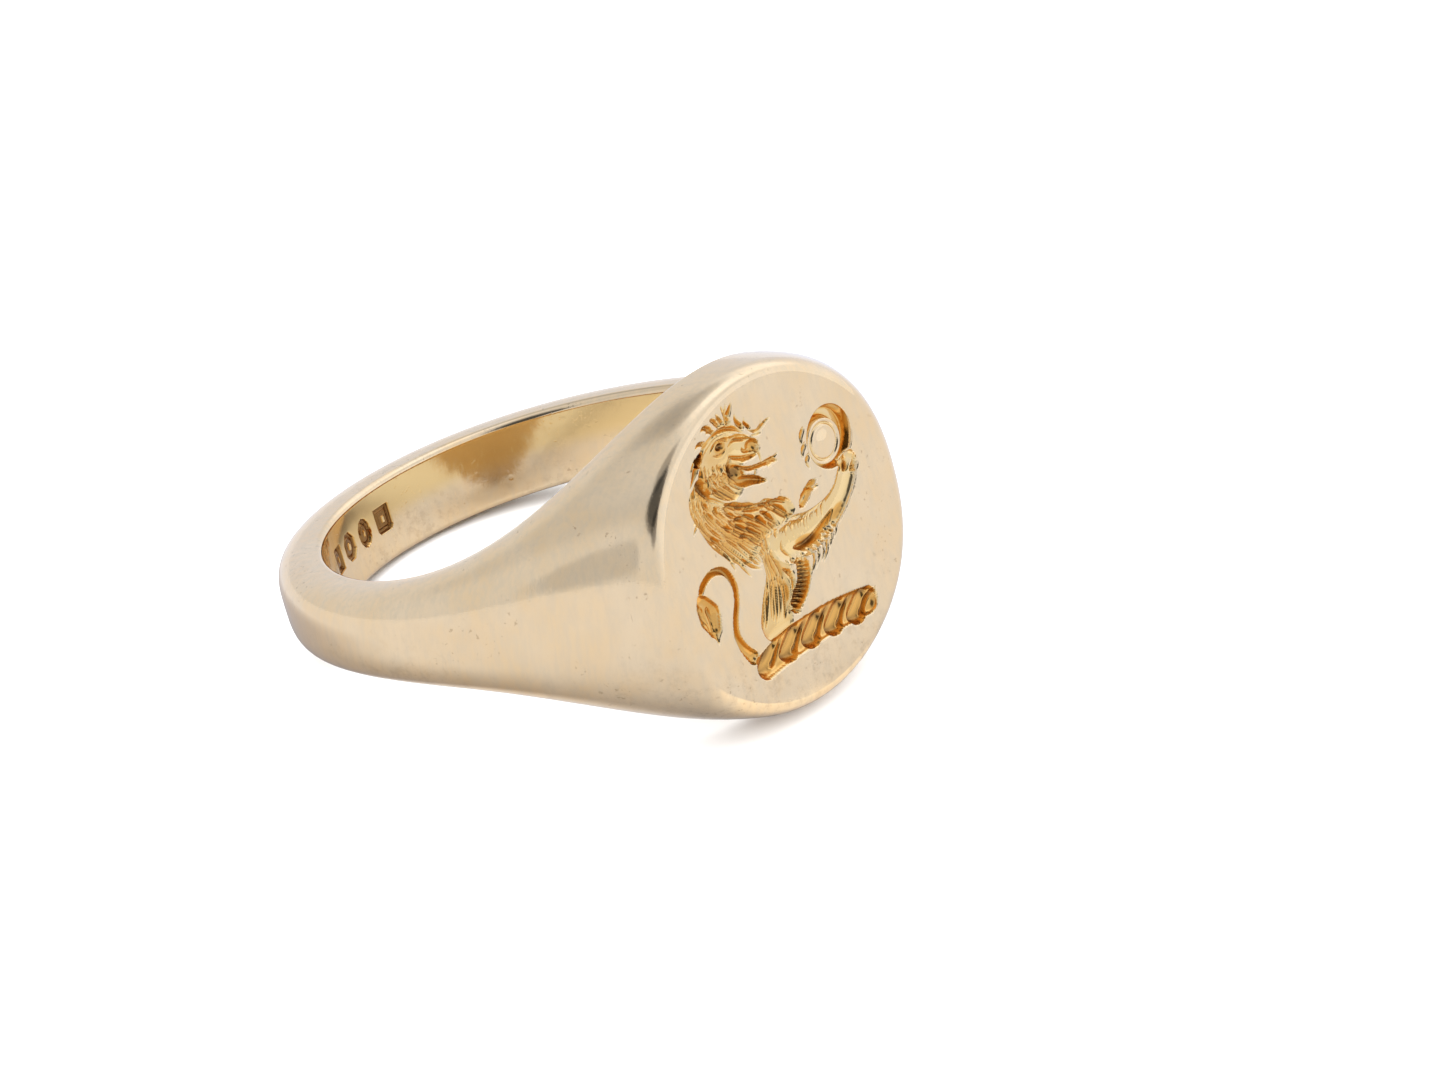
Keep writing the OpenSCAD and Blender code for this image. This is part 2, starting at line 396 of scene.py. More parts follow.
def smooth_line(points, per_span=5):
    """A smooth curve through control points, with the position 0 to 1 of each point along it."""
    p = np.array(points, float)
    p = np.concatenate([2 * p[:1] - p[1:2], p, 2 * p[-1:] - p[-2:-1]])
    t = np.linspace(0, 1, per_span, endpoint=False)[:, None]
    spans = []
    for a, b, c, d in zip(p, p[1:], p[2:], p[3:]):
        spans.append(b + (c - a) / 2 * t + (a - 2.5 * b + 2 * c - d / 2) * t ** 2
                     + (1.5 * b - 1.5 * c + (d - a) / 2) * t ** 3)
    line = np.concatenate(spans + [p[-2:-1]])
    return line, np.linspace(0, 1, len(line))


def spread_along(values, along):
    """Values given at even steps of a line, found at each position along it."""
    values = np.atleast_1d(values).astype(float)
    return np.interp(along, np.linspace(0, 1, len(values)), values)


class Carving:
    """Depth below the seal face at a set of points: bowls and channels, with lines cut in them.

    The tone tells how dark the metal is painted, by the part of the picture that each point is in:
    painted shade in the engraving's hollows.
    """

    def __init__(self, y, z):
        self.shape = y.shape
        self.y, self.z = y.ravel(), z.ravel()
        self.form, self.lines, self.tone = np.zeros((3, self.y.size))

    def merge(self, near, depth, soft=0.06):
        """Joins a new hollow to the form, with the crease between them eased."""
        old = self.form[near]
        ease = np.maximum(soft - np.abs(old - depth), 0) ** 2 / (4 * soft)
        both = np.clip(np.minimum(old, depth) / soft, 0, 1)
        self.form[near] = np.maximum(old, depth) + ease * both

    def oval(self, centre, radii, turn):
        """The points inside an oval, and how far in they are: 1 in the middle, 0 on the edge."""
        a = math.radians(turn)
        dy, dz = self.y - centre[0], self.z - centre[1]
        p = (dy * math.cos(a) + dz * math.sin(a)) / radii[0]
        q = (dz * math.cos(a) - dy * math.sin(a)) / radii[1]
        near = np.nonzero(p * p + q * q < 1)[0]
        return near, 1 - p[near] ** 2 - q[near] ** 2

    def hollow(self, centre, radii, turn, depth, power=0.55):
        """An oval bowl."""
        near, inside = self.oval(centre, radii, turn)
        self.merge(near, depth * inside ** power)

    def paint_shade(self, centre, radii, turn, amount):
        """Painted shade in an oval, or a painted highlight where the amount is below 0."""
        near, inside = self.oval(centre, radii, turn)
        self.tone[near] += amount * inside

    def trace(self, points, widths, depths, ends, power):
        """Depth of a tapered cut along a smooth curve, at the points near it."""
        line, along = smooth_line(points)
        width, depth = spread_along(widths, along) / 2, spread_along(depths, along)
        fade = np.ones(len(along))
        if ends[0]:
            fade *= np.minimum(along / ends[0], 1) ** 0.6
        if ends[1]:
            fade *= np.minimum((1 - along) / ends[1], 1) ** 0.6
        width, depth = np.maximum(width * fade, 1e-3), depth * fade
        reach = width.max()
        low, high = line.min(0) - reach, line.max(0) + reach
        near = np.nonzero((self.y > low[0]) & (self.y < high[0])
                          & (self.z > low[1]) & (self.z < high[1]))[0]
        here = np.stack([self.y[near], self.z[near]], -1)[:, None]
        start, leg = line[:-1], line[1:] - line[:-1]
        share = ((here - start) * leg).sum(-1) / np.maximum((leg ** 2).sum(-1), 1e-12)
        share = np.clip(share, 0, 1)
        gap = np.linalg.norm(here - start - share[..., None] * leg, axis=-1)
        w = width[:-1] + share * (width[1:] - width[:-1])
        d = depth[:-1] + share * (depth[1:] - depth[:-1])
        if power == "pointed":
            cut = d * np.maximum(1 - gap / w, 0)
        else:
            cut = d * np.maximum(1 - (gap / w) ** 2, 0) ** power
        return near, cut.max(1)

    def channel(self, points, widths, depths, ends=(0.1, 0.1), soft=0.06):
        """A round-bottomed channel, part of the main form."""
        self.merge(*self.trace(points, widths, depths, ends, 0.5), soft)

    def line(self, points, width, depth, ends=(0.3, 0.3)):
        """A line cut with a pointed graver, on top of the main form."""
        near, cut = self.trace(points, width, depth, ends, "pointed")
        self.lines[near] = np.maximum(self.lines[near], cut)

    def hair(self, guides, across, rows, length, width, depth, stray=0.03):
        """Pointed strokes that flow along guide curves, laid in overlapping rows."""
        curves = np.stack([smooth_line(g, 8)[0] for g in guides])
        steps = np.linspace(0, 1, curves.shape[1])
        places = np.linspace(0, 1, len(guides))
        for row in range(rows):
            start = (1 - length) * row / max(rows - 1, 1)
            for i in range(across):
                side = (i + rng.uniform(0.15, 0.85)) / across
                t = start + rng.uniform(-0.06, 0.06) + length * np.linspace(0, 1, 5)
                t = np.clip(t, 0, 1)
                lane = side + np.linspace(0, 1, 5) * rng.normal(0, 0.4) / across
                points = []
                for place, at in zip(np.clip(lane, 0, 1), t):
                    at_guides = [[np.interp(at, steps, c[:, k]) for k in (0, 1)] for c in curves]
                    points.append([np.interp(place, places, [g[k] for g in at_guides])
                                   for k in (0, 1)])
                points = np.array(points) + rng.normal(0, stray, 2)
                size = rng.uniform(0.7, 1.25)
                self.line(points, width * size, depth * size, ends=(0.2, 0.7))

    def depth(self):
        return (self.form + self.lines).reshape(self.shape)

    def carve(self, part, tone):
        """Cuts one part of the picture, and gives the metal it uncovers that part's tone of painted
        shade.
        """
        before = self.form + self.lines
        part(self)
        self.tone[self.form + self.lines > before + 0.01] = tone


def carve_head(c):
    c.hollow((-1.72, 3.42), (0.98, 0.8), 0, 0.28)
    c.hollow((-1.0, 3.5), (0.75, 0.5), -12, 0.26)
    c.hollow((-0.52, 3.34), (0.52, 0.34), -12, 0.26)
    c.hollow((-0.28, 3.3), (0.26, 0.26), 0, 0.3)
    c.hollow((-1.8, 2.7), (0.78, 0.55), -42, 0.24)
    c.hollow((-1.24, 2.8), (0.3, 0.36), 30, 0.36)
    c.channel([(-1.45, 2.72), (-1.1, 2.46), (-0.66, 2.32), (-0.08, 2.04)],
              [0.56, 0.4, 0.3, 0.14], 0.28, (0.1, 0.2))
    c.hair([[(-2.5, 3.1), (-2.45, 2.7), (-2.0, 2.2)], [(-2.1, 3.1), (-1.95, 2.6), (-1.55, 2.05)],
            [(-1.6, 3.0), (-1.5, 2.6), (-1.2, 2.15)]], 10, 3, 0.5, 0.14, 0.15)
    c.hollow((-1.48, 3.77), (0.25, 0.2), -8, 0.4, 0.8)
    c.line([(-1.95, 3.72), (-1.66, 3.98), (-1.3, 3.96), (-1.1, 3.78)], 0.14, 0.12)
    c.line([(-1.85, 3.62), (-1.5, 3.5), (-1.2, 3.62)], 0.1, 0.08)
    c.line([(-2.55, 3.75), (-2.35, 4.05), (-1.95, 4.22), (-1.35, 4.32), (-0.85, 4.14),
            (-0.5, 3.86)], 0.26, 0.24, (0.15, 0.3))
    c.line([(-2.2, 3.85), (-1.75, 4.1), (-1.2, 4.14), (-0.75, 3.94)], 0.14, 0.1)
    c.line([(-1.15, 3.62), (-0.85, 3.74), (-0.5, 3.62), (-0.22, 3.56)], 0.13, 0.12)
    c.line([(-0.62, 3.36), (-0.5, 3.22), (-0.3, 3.18)], 0.12, 0.1)
    c.line([(-1.25, 3.36), (-1.0, 3.2), (-0.6, 3.06), (-0.1, 3.02)], 0.16, 0.13)
    c.line([(-1.2, 3.3), (-1.34, 2.95), (-1.2, 2.62)], 0.2, 0.16)
    c.line([(-1.1, 2.95), (-0.7, 2.72), (-0.1, 2.62), (0.3, 2.6), (0.66, 2.72)],
           [0.12, 0.18, 0.18, 0.32, 0.1], 0.2, (0.1, 0.4))
    c.line([(0.05, 2.44), (0.32, 2.56), (0.55, 2.48)], 0.18, 0.14)
    c.line([(-0.14, 3.08), (-0.13, 2.8), (-0.12, 2.3)], 0.12, 0.12, (0, 0.8))
    c.line([(-0.52, 2.45), (-0.46, 2.6), (-0.5, 2.76)], 0.12, 0.12, (0, 0.8))
    c.line([(-0.4, 3.94), (-0.1, 3.74), (0.1, 3.72), (0.42, 3.84), (0.72, 3.9)], 0.14, 0.13)
    c.line([(0.05, 3.74), (0.25, 3.86), (0.3, 4.02)], 0.09, 0.1, (0, 0.8))
    c.line([(-0.4, 3.7), (0.0, 3.6), (0.22, 3.62)], 0.1, 0.09)
    c.hair([[(-2.35, 3.5), (-2.3, 3.0), (-1.7, 2.35)], [(-1.75, 3.25), (-1.75, 2.9), (-1.3, 2.3)],
            [(-1.35, 3.1), (-1.4, 2.85), (-1.15, 2.4)]], 8, 2, 0.6, 0.13, 0.1)


def carve_crown_hair(c):
    for tip, middle, root, width in (
            ((-1.2, 5.1), (-1.1, 4.68), (-1.06, 4.3), 0.2),
            ((-0.98, 5.06), (-1.04, 4.75), (-1.02, 4.4), 0.16),
            ((-0.72, 4.98), (-0.84, 4.86), (-0.98, 4.66), 0.14),
            ((-0.72, 4.6), (-0.72, 4.36), (-0.5, 4.02), 0.18),
            ((-0.38, 4.34), (-0.4, 4.16), (-0.22, 3.9), 0.12),
            ((-2.3, 4.64), (-2.08, 4.68), (-1.8, 4.5), 0.16),
            ((-2.12, 4.52), (-1.9, 4.5), (-1.72, 4.36), 0.14),
            ((-1.8, 4.84), (-1.62, 4.72), (-1.36, 4.42), 0.2),
            ((-1.5, 4.92), (-1.4, 4.74), (-1.24, 4.44), 0.14),
            ((-2.72, 4.2), (-2.5, 4.3), (-2.2, 4.2), 0.12)):
        c.line([root, middle, tip], 1.4 * width, 0.2, (0.05, 0.7))


def carve_mane(c):
    edge = [(-3.18, 3.2), (-3.5, 2.45), (-3.28, 1.6), (-2.66, 0.8), (-2.4, 0.0)]
    outer = [(-2.8, 3.3), (-3.05, 2.35), (-2.75, 1.4), (-2.1, 0.6), (-1.6, -0.4)]
    middle = [(-2.5, 2.75), (-2.5, 1.95), (-2.0, 1.15), (-1.35, 0.45), (-0.85, -0.3)]
    inner = [(-2.15, 2.15), (-1.7, 1.55), (-1.05, 1.05), (-0.5, 0.45), (-0.4, -0.15)]
    chest = [(-1.85, 2.0), (-1.0, 1.55), (-0.15, 1.46), (0.55, 1.05), (1.05, 0.5)]
    c.channel([(-2.75, 3.2), (-2.95, 2.4), (-2.6, 1.5), (-2.0, 0.85), (-1.6, 0.3)],
              [0.7, 1.0, 1.3, 1.5, 1.1], [0.2, 0.24, 0.28, 0.28, 0.1], (0.1, 0.1))
    c.channel([(-2.2, 1.9), (-1.4, 1.1), (-0.7, 0.8), (0.1, 0.85), (0.75, 0.72)],
              [0.7, 1.4, 1.3, 1.0, 0.5], [0.2, 0.3, 0.3, 0.26, 0.16], (0.1, 0.2))
    c.line([(-2.5, 3.66), (-2.76, 3.1), (-2.5, 2.48), (-1.96, 1.96)], 0.34, 0.28, (0.15, 0.25))
    c.hair([edge, outer, middle, inner, chest], 17, 5, 0.34, 0.24, 0.2)
    c.hair([edge, outer, middle, inner], 12, 3, 0.4, 0.13, 0.14)
    for points in (
            [(-1.75, 1.3), (-1.3, 1.22), (-0.9, 1.0)], [(-1.7, 0.72), (-1.3, 0.62), (-0.85, 0.3)],
            [(-0.75, 1.3), (-0.3, 1.3), (0.1, 1.0)], [(-0.2, 0.95), (0.2, 1.2), (0.55, 1.0)],
            [(-2.7, 2.7), (-2.62, 2.2), (-2.3, 1.8)], [(-2.2, 1.5), (-1.9, 1.1), (-1.6, 0.95)]):
        c.line(points, 0.34, 0.26, (0.4, 0.5))
    for points in (
            [(-2.45, 0.75), (-2.46, 0.3), (-2.38, -0.08)], [(-2.2, 0.4), (-2.1, 0.0), (-1.8, -0.58)],
            [(-1.9, 0.15), (-1.7, -0.2), (-1.28, -0.5)], [(-1.5, 0.1), (-1.5, -0.15), (-1.28, -0.36)],
            [(-3.1, 1.9), (-3.4, 1.96), (-3.72, 1.72)], [(-3.2, 2.3), (-3.42, 2.1), (-3.6, 2.0)]):
        c.line(points, 0.2, 0.18, (0.15, 0.7))
    c.hollow((-2.6, 3.82), (0.27, 0.2), 35, 0.42)
    c.line([(-2.6, 3.95), (-2.95, 3.55), (-3.36, 3.12)], [0.2, 0.26, 0.1], 0.18, (0.1, 0.5))
    c.line([(-2.75, 3.95), (-3.02, 3.72), (-3.15, 3.5)], 0.12, 0.1, (0.1, 0.6))


def carve_arms(c):
    c.channel([(-0.45, -0.1), (0.35, -0.3), (1.2, -0.32), (2.1, -0.12), (2.9, 0.34), (3.4, 0.9)],
              [1.15, 1.4, 1.22, 1.06, 0.9, 0.92], [0.32, 0.42, 0.38, 0.32, 0.28, 0.28],
              (0.02, 0.04))
    c.hollow((3.46, 1.08), (0.5, 0.42), 50, 0.3)
    for points in (
            [(3.2, 0.86), (3.3, 1.12), (3.24, 1.4)], [(3.46, 0.8), (3.6, 1.08), (3.56, 1.38)],
            [(3.66, 0.7), (3.88, 0.98), (3.9, 1.3)], [(2.0, 3.0), (1.78, 2.76), (1.7, 2.45)],
            [(1.92, 2.5), (1.7, 2.3), (1.62, 2.05)], [(1.95, 2.1), (1.76, 1.9), (1.82, 1.62)]):
        c.line(points, 0.2, 0.17, (0.15, 0.6))
    c.line([(-0.1, 0.3), (0.5, 0.44), (1.2, 0.3), (1.9, 0.34), (2.5, 0.55)], 0.22, 0.16, (0.2, 0.3))
    c.line([(0.5, -0.62), (1.1, -0.72), (1.9, -0.5), (2.6, -0.1)], 0.3, 0.22, (0.2, 0.3))
    c.line([(0.3, -0.8), (0.1, -0.5), (0.15, -0.2)], 0.16, 0.1)
    c.channel([(0.95, 0.62), (1.25, 0.86), (1.62, 1.1), (2.0, 1.24)],
              [0.24, 0.4, 0.34, 0.12], 0.24, (0.2, 0.3))
    c.line([(1.5, 1.02), (1.8, 0.98), (2.02, 1.02)], 0.12, 0.12)
    c.line([(1.0, 0.7), (1.4, 0.92), (1.9, 1.2)], 0.1, 0.1)
    c.hair([[(-0.1, -0.75), (0.0, -1.15), (-0.1, -1.5)], [(0.8, -0.85), (0.8, -1.25), (0.5, -1.65)],
            [(1.75, -0.7), (1.65, -1.1), (1.35, -1.4)], [(2.3, -0.4), (2.2, -0.7), (2.0, -0.9)]],
           18, 1, 1.0, 0.13, 0.14)
    c.hair([[(0.3, 0.3), (0.4, -0.1), (0.5, -0.5)], [(2.4, 0.4), (2.3, 0.1), (2.2, -0.2)]],
           12, 1, 1.0, 0.1, 0.05)


def carve_body(c):
    c.channel([(-0.72, 0.0), (-0.66, -0.95), (-1.05, -1.75), (-1.3, -2.45)],
              [0.9, 1.15, 1.3, 1.5], [0.3, 0.3, 0.26, 0.2], (0.05, 0.02))
    c.channel([(0.45, -0.85), (0.4, -1.4), (0.05, -1.95), (-0.48, -2.45)],
              [0.5, 0.66, 0.56, 0.26], 0.26, (0.1, 0.1))
    left = [(-1.05, -0.3), (-1.2, -1.1), (-1.6, -1.8), (-2.0, -2.35)]
    middle = [(-0.75, -0.2), (-0.72, -1.1), (-1.0, -1.8), (-1.3, -2.5)]
    right = [(-0.4, -0.2), (-0.22, -1.0), (-0.35, -1.7), (-0.7, -2.5)]
    c.hair([left, middle, right], 10, 2, 0.62, 0.15, 0.11)
    c.line([(-0.3, -0.9), (-0.1, -1.3), (-0.3, -1.9), (-0.65, -2.4)], 0.22, 0.2)
    strip_left = [(0.12, -0.95), (-0.05, -1.6), (-0.6, -2.35)]
    strip_right = [(0.78, -1.1), (0.55, -1.85), (-0.2, -2.55)]
    for share in np.linspace(0.04, 0.96, 12):
        a, b = (np.array([np.interp(share, smooth_line(s)[1], smooth_line(s)[0][:, k])
                          for k in (0, 1)]) for s in (strip_left, strip_right))
        c.line([a, (a + b) / 2 + (0.03, -0.05), b], 0.15, 0.17, (0.2, 0.3))


def carve_tail(c):
    c.channel([(-2.55, -3.1), (-2.88, -2.6), (-3.05, -2.05), (-2.93, -1.5), (-2.68, -0.95),
               (-2.62, -0.4), (-2.85, 0.1), (-3.35, 0.3), (-3.85, 0.12), (-4.14, -0.2)],
              [0.5, 0.36, 0.27, 0.24, 0.22, 0.24, 0.26, 0.24, 0.24, 0.2], 0.24, (0.02, 0.05))
    c.channel([(-4.14, -0.2), (-4.06, -0.55), (-3.92, -0.95), (-3.86, -1.4), (-3.88, -1.98)],
              [0.22, 0.66, 0.92, 0.6, 0.06], [0.2, 0.3, 0.34, 0.26, 0.12], (0.05, 0.25))
    c.hair([[(-4.3, -0.5), (-4.3, -1.0), (-4.0, -1.6)], [(-3.6, -0.7), (-3.55, -1.1), (-3.8, -1.7)]],
           5, 1, 1.0, 0.12, 0.08)
    c.line([(-4.12, -0.4), (-4.02, -0.8), (-3.95, -1.3)], 0.16, 0.12)


def carve_wreath(c):
    c.channel([(-2.3, -3.52), (-1.5, -3.36), (-0.4, -3.26), (1.0, -3.28), (2.2, -3.4),
               (2.9, -3.5)], [0.94, 1.06, 1.1, 1.08, 1.02, 0.94], 0.32, (0.03, 0.03))
    for i in range(5):
        y, z = -1.88 + 1.08 * i, -3.3 - 0.022 * (i - 1.2) ** 2
        c.channel([(y - 0.48, z - 0.34), (y - 0.2, z - 0.22), (y + 0.24, z + 0.12),
                   (y + 0.5, z + 0.3)], [0.3, 0.7, 0.7, 0.3], 0.44, (0.1, 0.1), 0.08)
        c.line([(y - 0.02, z - 0.44), (y + 0.28, z - 0.26), (y + 0.64, z + 0.08),
                (y + 0.82, z + 0.3)], 0.18, 0.15, (0.2, 0.3))
        c.line([(y - 0.34, z - 0.26), (y - 0.06, z - 0.04), (y + 0.3, z + 0.24)], 0.06, 0.04)


def carve_roundel(c):
    """A sunk ring, deepest at the upper right, round a plain raised disc with a fine border."""
    outer = np.hypot(c.y - 3.0, c.z - 2.25)
    inner = np.hypot(c.y - 2.8, c.z - 2.16)
    sink = 0.42 * smooth_step((1.07 - outer) / 0.14)
    disc = 0.1 + 0.07 * smooth_step(1 - np.abs(inner - 0.6) / 0.08)
    disc = disc - 0.05 * smooth_step(1 - inner / 0.5)
    on_disc = smooth_step((0.86 - inner) / 0.12)
    c.form = np.maximum(c.form, np.where(outer < 1.1, sink + (disc - sink) * on_disc, 0))


# The parts of the picture in the order they are cut, with how dark the painted shade is in each
CARVED_PARTS = (
    (carve_roundel, 0.05), (carve_mane, 0.56), (carve_body, 0.62), (carve_arms, 0.2),
    (carve_head, 0.6), (carve_crown_hair, 0.6), (carve_tail, 0.7), (carve_wreath, 0.82))
# Painted shade in hollows, and a painted highlight where the amount is below 0: middle, half sizes,
# turn and how much darker
PAINTED_SHADES = (
    ((-1.48, 3.77), (0.26, 0.22), 0, 0.9), ((-2.6, 3.84), (0.32, 0.26), 35, 1.3),
    ((-1.24, 2.76), (0.34, 0.4), 30, 0.9), ((-2.62, 3.0), (0.3, 0.7), 0, 0.5),
    ((-3.0, 3.5), (0.6, 0.2), 50, 0.5), ((-1.9, 2.3), (0.6, 0.25), -35, 0.5),
    ((1.2, -0.6), (0.6, 0.2), -10, 1.2), ((2.6, -0.25), (0.5, 0.16), 30, 0.9),
    ((3.5, 0.95), (0.18, 0.22), 30, 1.0), ((-1.2, 0.7), (1.2, 0.6), -20, 0.3),
    ((0.3, -1.9), (0.45, 0.9), -35, 0.8), ((-0.5, 3.35), (0.6, 0.35), -12, -0.3),
    ((-0.1, -3.1), (0.4, 0.16), 30, 0.8), ((0.95, -3.12), (0.4, 0.16), 30, 0.8),
    ((2.05, -3.2), (0.4, 0.16), 25, 0.7), ((-1.7, -3.2), (0.5, 0.2), 40, 0.5))


def box_blur(values, reach):
    """The mean over a square of 2 reach + 1 points a side."""
    for _ in range(2):
        padded = np.pad(values, ((reach + 1, reach), (0, 0)), mode="edge")
        total = padded.cumsum(0)
        values = ((total[2 * reach + 1:] - total[:-2 * reach - 1]) / (2 * reach + 1)).T
    return values


def engraving(y, z):
    """Depth below the seal face, and how dark the metal is, at each point."""
    c = Carving(y, z)
    for part, tone in CARVED_PARTS:
        c.carve(part, tone)
    for centre, radii, turn, amount in PAINTED_SHADES:
        c.paint_shade(centre, radii, turn, amount)
    return c.depth(), c.tone.reshape(y.shape)


# ---- Pieces that follow the outline of the face ----

def outline(x, direction):
    """Distance from the middle of the face to the ring's side, at a plane x and a direction."""
    y, z = np.cos(direction), np.sin(direction)
    low, high = np.zeros(np.shape(direction)), np.full(np.shape(direction), 9.0)
    for _ in range(34):
        mid = (low + high) / 2
        level = side_level(np.stack([np.full(np.shape(mid), x), mid * y, mid * z], -1))
        low = np.where(level < 1, mid, low)
        high = np.where(level < 1, high, mid)
    return low


def ring_of_points(x, direction):
    s = outline(x, direction)
    return np.stack([np.full(s.shape, x), s * np.cos(direction), s * np.sin(direction)], -1)


def wrap(grid):
    """A grid whose last column repeats its first."""
    return np.concatenate([grid, grid[:, :1]], 1)


def build_plate_solder():
    direction = np.linspace(0, 2 * math.pi, 360, endpoint=False)
    rows = np.stack([ring_of_points(x, direction) for x in (BLOCK_X, PLATE_X)])
    shell = Shell()
    index = shell.add_points(rows)
    shell.add_quads(wrap(index), wrap(side_normal(rows)))
    shell.add_flat(index[0][::-1], (-1, 0, 0))
    shell.add_flat(index[1], (1, 0, 0))
    return shell.build("plate_solder")


def disc_grid():
    """A square grid bent to fill a unit disc, and the rows and columns of its edge in turn."""
    line = np.linspace(-1, 1, FACE_STEPS + 1)
    u, v = np.meshgrid(line, line, indexing="ij")
    y, z = u * np.sqrt(1 - v ** 2 / 2), v * np.sqrt(1 - u ** 2 / 2)
    up = np.arange(FACE_STEPS)
    down, low, high = FACE_STEPS - up, 0 * up, 0 * up + FACE_STEPS
    rim = np.concatenate([high, down, low, up]), np.concatenate([up, high, down, low])
    return y, z, rim


def engraved_face(direction, spread):
    """Points and normals of the face, and how dark its metal is, with painted shade in the engraving.
    """
    y, z = spread * np.cos(direction), spread * np.sin(direction)
    depth, tone = engraving(y, z)
    face = np.stack([FACE_X - depth, y, z], -1)
    normals = unit(np.cross(np.gradient(face, axis=0), np.gradient(face, axis=1)))
    normals[(depth <= 0) & (np.abs(normals[..., 0]) > 0.9999)] = FRONT
    # Painted shade: darker gold in the engraving by part, more in its deep parts and most in its
    # crevices
    crevice = np.clip((depth - box_blur(depth, CREVICE_REACH)) / 0.09, 0, 1)
    deep = smooth_step((depth - 0.15) / 0.3)
    cut = np.maximum(tone, 0) * smooth_step(depth / 0.07) + DEEP_PAINTED_SHADE * deep
    return face, normals, cut + CREVICE_PAINTED_SHADE * crevice


def plate_side(direction, inner):
    """Points and normals of the plate's side, from its back up and over its rounded rim."""
    low = FACE_X - RIM_DEPTH
    rows = [ring_of_points(x, direction) for x in (PLATE_X, (PLATE_X + low) / 2, low)]
    normals = [side_normal(r) for r in rows]
    start, start_normal = rows[-1], normals[-1]
    corner = ring_of_points(FACE_X, direction)
    side_leg = np.linalg.norm(corner - start, axis=-1, keepdims=True)
    face_leg = np.linalg.norm(inner - corner, axis=-1, keepdims=True)
    for t in np.arange(1, RIM_STEPS) / RIM_STEPS:
        rows.append((1 - t) ** 2 * start + 2 * t * (1 - t) * corner + t ** 2 * inner)
        normals.append(unit(
            (1 - t) * side_leg * start_normal + t * face_leg * np.array(FRONT)))
    return np.stack(rows), np.stack(normals)


def build_seal_plate():
    disc_y, disc_z, rim = disc_grid()
    direction = np.arctan2(disc_z, disc_y)
    spread = np.hypot(disc_y, disc_z) * (outline(FACE_X, direction) - RIM_INSET)
    face, face_normals, cut = engraved_face(direction, spread)
    face_normals[rim] = FRONT
    side, side_normals = plate_side(direction[rim], face[rim])
    shell = Shell()
    face_index = shell.add_points(face)
    shell.add_quads(face_index.T, face_normals.transpose(1, 0, 2))
    side_index = shell.add_points(side)
    index = np.concatenate([side_index, face_index[rim][None]])
    normals = np.concatenate([side_normals, face_normals[rim][None]])
    shell.add_quads(wrap(index), wrap(normals))
    shell.add_flat(index[0][::-1], (-1, 0, 0))
    return shell.build("seal_plate", np.concatenate([cut.ravel(), np.zeros(side_index.size)]))


# ---- Materials: polished gold with hand wear ----

# Painted shade on the upper wall of the finger hole and over the engraving
PAINTED_SHADE_GOLD = (0.815, 0.57, 0.245)
# Deeper painted shade in the engraving
DEEPER_PAINTED_SHADE_GOLD = (0.72, 0.38, 0.095)
DIRT = (0.3, 0.19, 0.09)
# Darkest gold: painted shade in the engraving's crevices, and the sunk parts of the punched marks
DARKEST_GOLD = (0.2, 0.1, 0.035)
HAZE = (0.8, 0.65, 0.43)
RUBBED = (0.73, 0.58, 0.37)
RUBBING_SCALE = (4200, 4200, 800)
HAIRLINE_SCALE = (11000, 11000, 420)
HAIRLINES = (((0.5, 0.2, 0.1), (3, 2.1, 0)), ((-0.7, 0.4, 0.9), (11, 7.7, 0)),
             ((1.2, -0.3, 0.4), (23, 16.1, 0)))
LOW_DOWN = (0.0012, 0.006)
RELIEF = (("clouds", 5.0), ("patches", 0.8), ("grain", 0.05), ("hairs", -0.1), ("pits", -0.4),
          ("specks", 0.15), ("nicks", -0.5), ("rubbed", 0.7))


def put(tree, value, socket):
    """Gives a socket a number, a vector, a colour, or the output of another node."""
    if isinstance(value, bpy.types.NodeSocket):
        tree.links.new(value, socket)
    else:
        socket.default_value = (*value, 1) if socket.type == "RGBA" else value


def node(tree, kind, label, **values):
    """A new shader node. Each value is for the input or the setting with its name."""
    made = tree.nodes.new("ShaderNode" + kind)
    made.label = label
    for name, value in values.items():
        if name in made.inputs:
            put(tree, value, made.inputs[name])
        else:
            setattr(made, name, value)
    return made


def noise(tree, where, scale, detail, label, rough=0.5):
    made = node(tree, "TexNoise", label, Vector=where, Scale=scale, Detail=detail, Roughness=rough)
    return made.outputs[0]


def ranged(tree, value, low, high, to_low, to_high, label):
    """A value moved smoothly from one range to another, and held at its ends."""
    made = node(tree, "MapRange", label, interpolation_type="SMOOTHSTEP", **{
        "Value": value, "From Min": low, "From Max": high, "To Min": to_low, "To Max": to_high})
    return made.outputs["Result"]


def places(tree, where, scale, detail, low, high, label, rough=0.5):
    """1 in the places where a noise is high, and 0 elsewhere."""
    return ranged(tree, noise(tree, where, scale, detail, label, rough), low, high, 0, 1, label)


def combine(tree, how, a, b, label, kind="Math"):
    made = node(tree, kind, label, operation=how)
    put(tree, a, made.inputs[0])
    put(tree, b, made.inputs[1])
    return made.outputs["Value"]


def hairlines(tree, where):
    """Sparse lines in three directions: stretched noise with only its crests kept."""
    lines = 0
    for turn, place in HAIRLINES:
        mapping = node(tree, "Mapping", "hairlines", Rotation=turn, Location=place,
                       Scale=HAIRLINE_SCALE, Vector=where)
        crests = places(tree, mapping.outputs["Vector"], 1.0, 1, 0.7, 0.78, "hairlines")
        lines = combine(tree, "MAXIMUM", lines, crests, "hairlines")
    return lines


